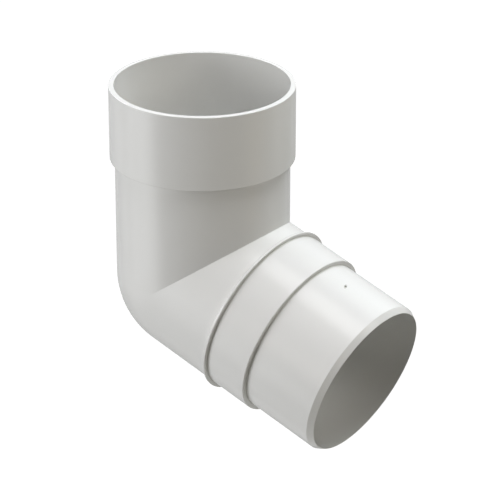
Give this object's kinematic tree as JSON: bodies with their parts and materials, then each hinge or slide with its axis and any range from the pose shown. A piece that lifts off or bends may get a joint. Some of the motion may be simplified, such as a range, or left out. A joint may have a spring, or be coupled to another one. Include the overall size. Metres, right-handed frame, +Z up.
{
  "type": "downspout elbow",
  "caption": "Moulded plastic elbow that turns a round rainwater pipe through 72 degrees, with a pipe socket on the upper leg and a beaded, stepped and chamfered spigot on the arm.",
  "frame": {"origin": "centre of the socket mouth, where the rim plane crosses the socket's axis", "axes": "+Z up along the socket's axis, out of its mouth; the bend lies in the XZ plane, with the arm leaving towards +X and down by 18 degrees; the part is mirror-symmetric about XZ"},
  "size_m": [0.1481, 0.0856, 0.1583],
  "materials": {
    "elbow_plastic": "moulded white uPVC, satin gloss"
  },
  "bodies": {
    "root": {"elbow": "elbow_plastic"}
  },
  "joints": []
}
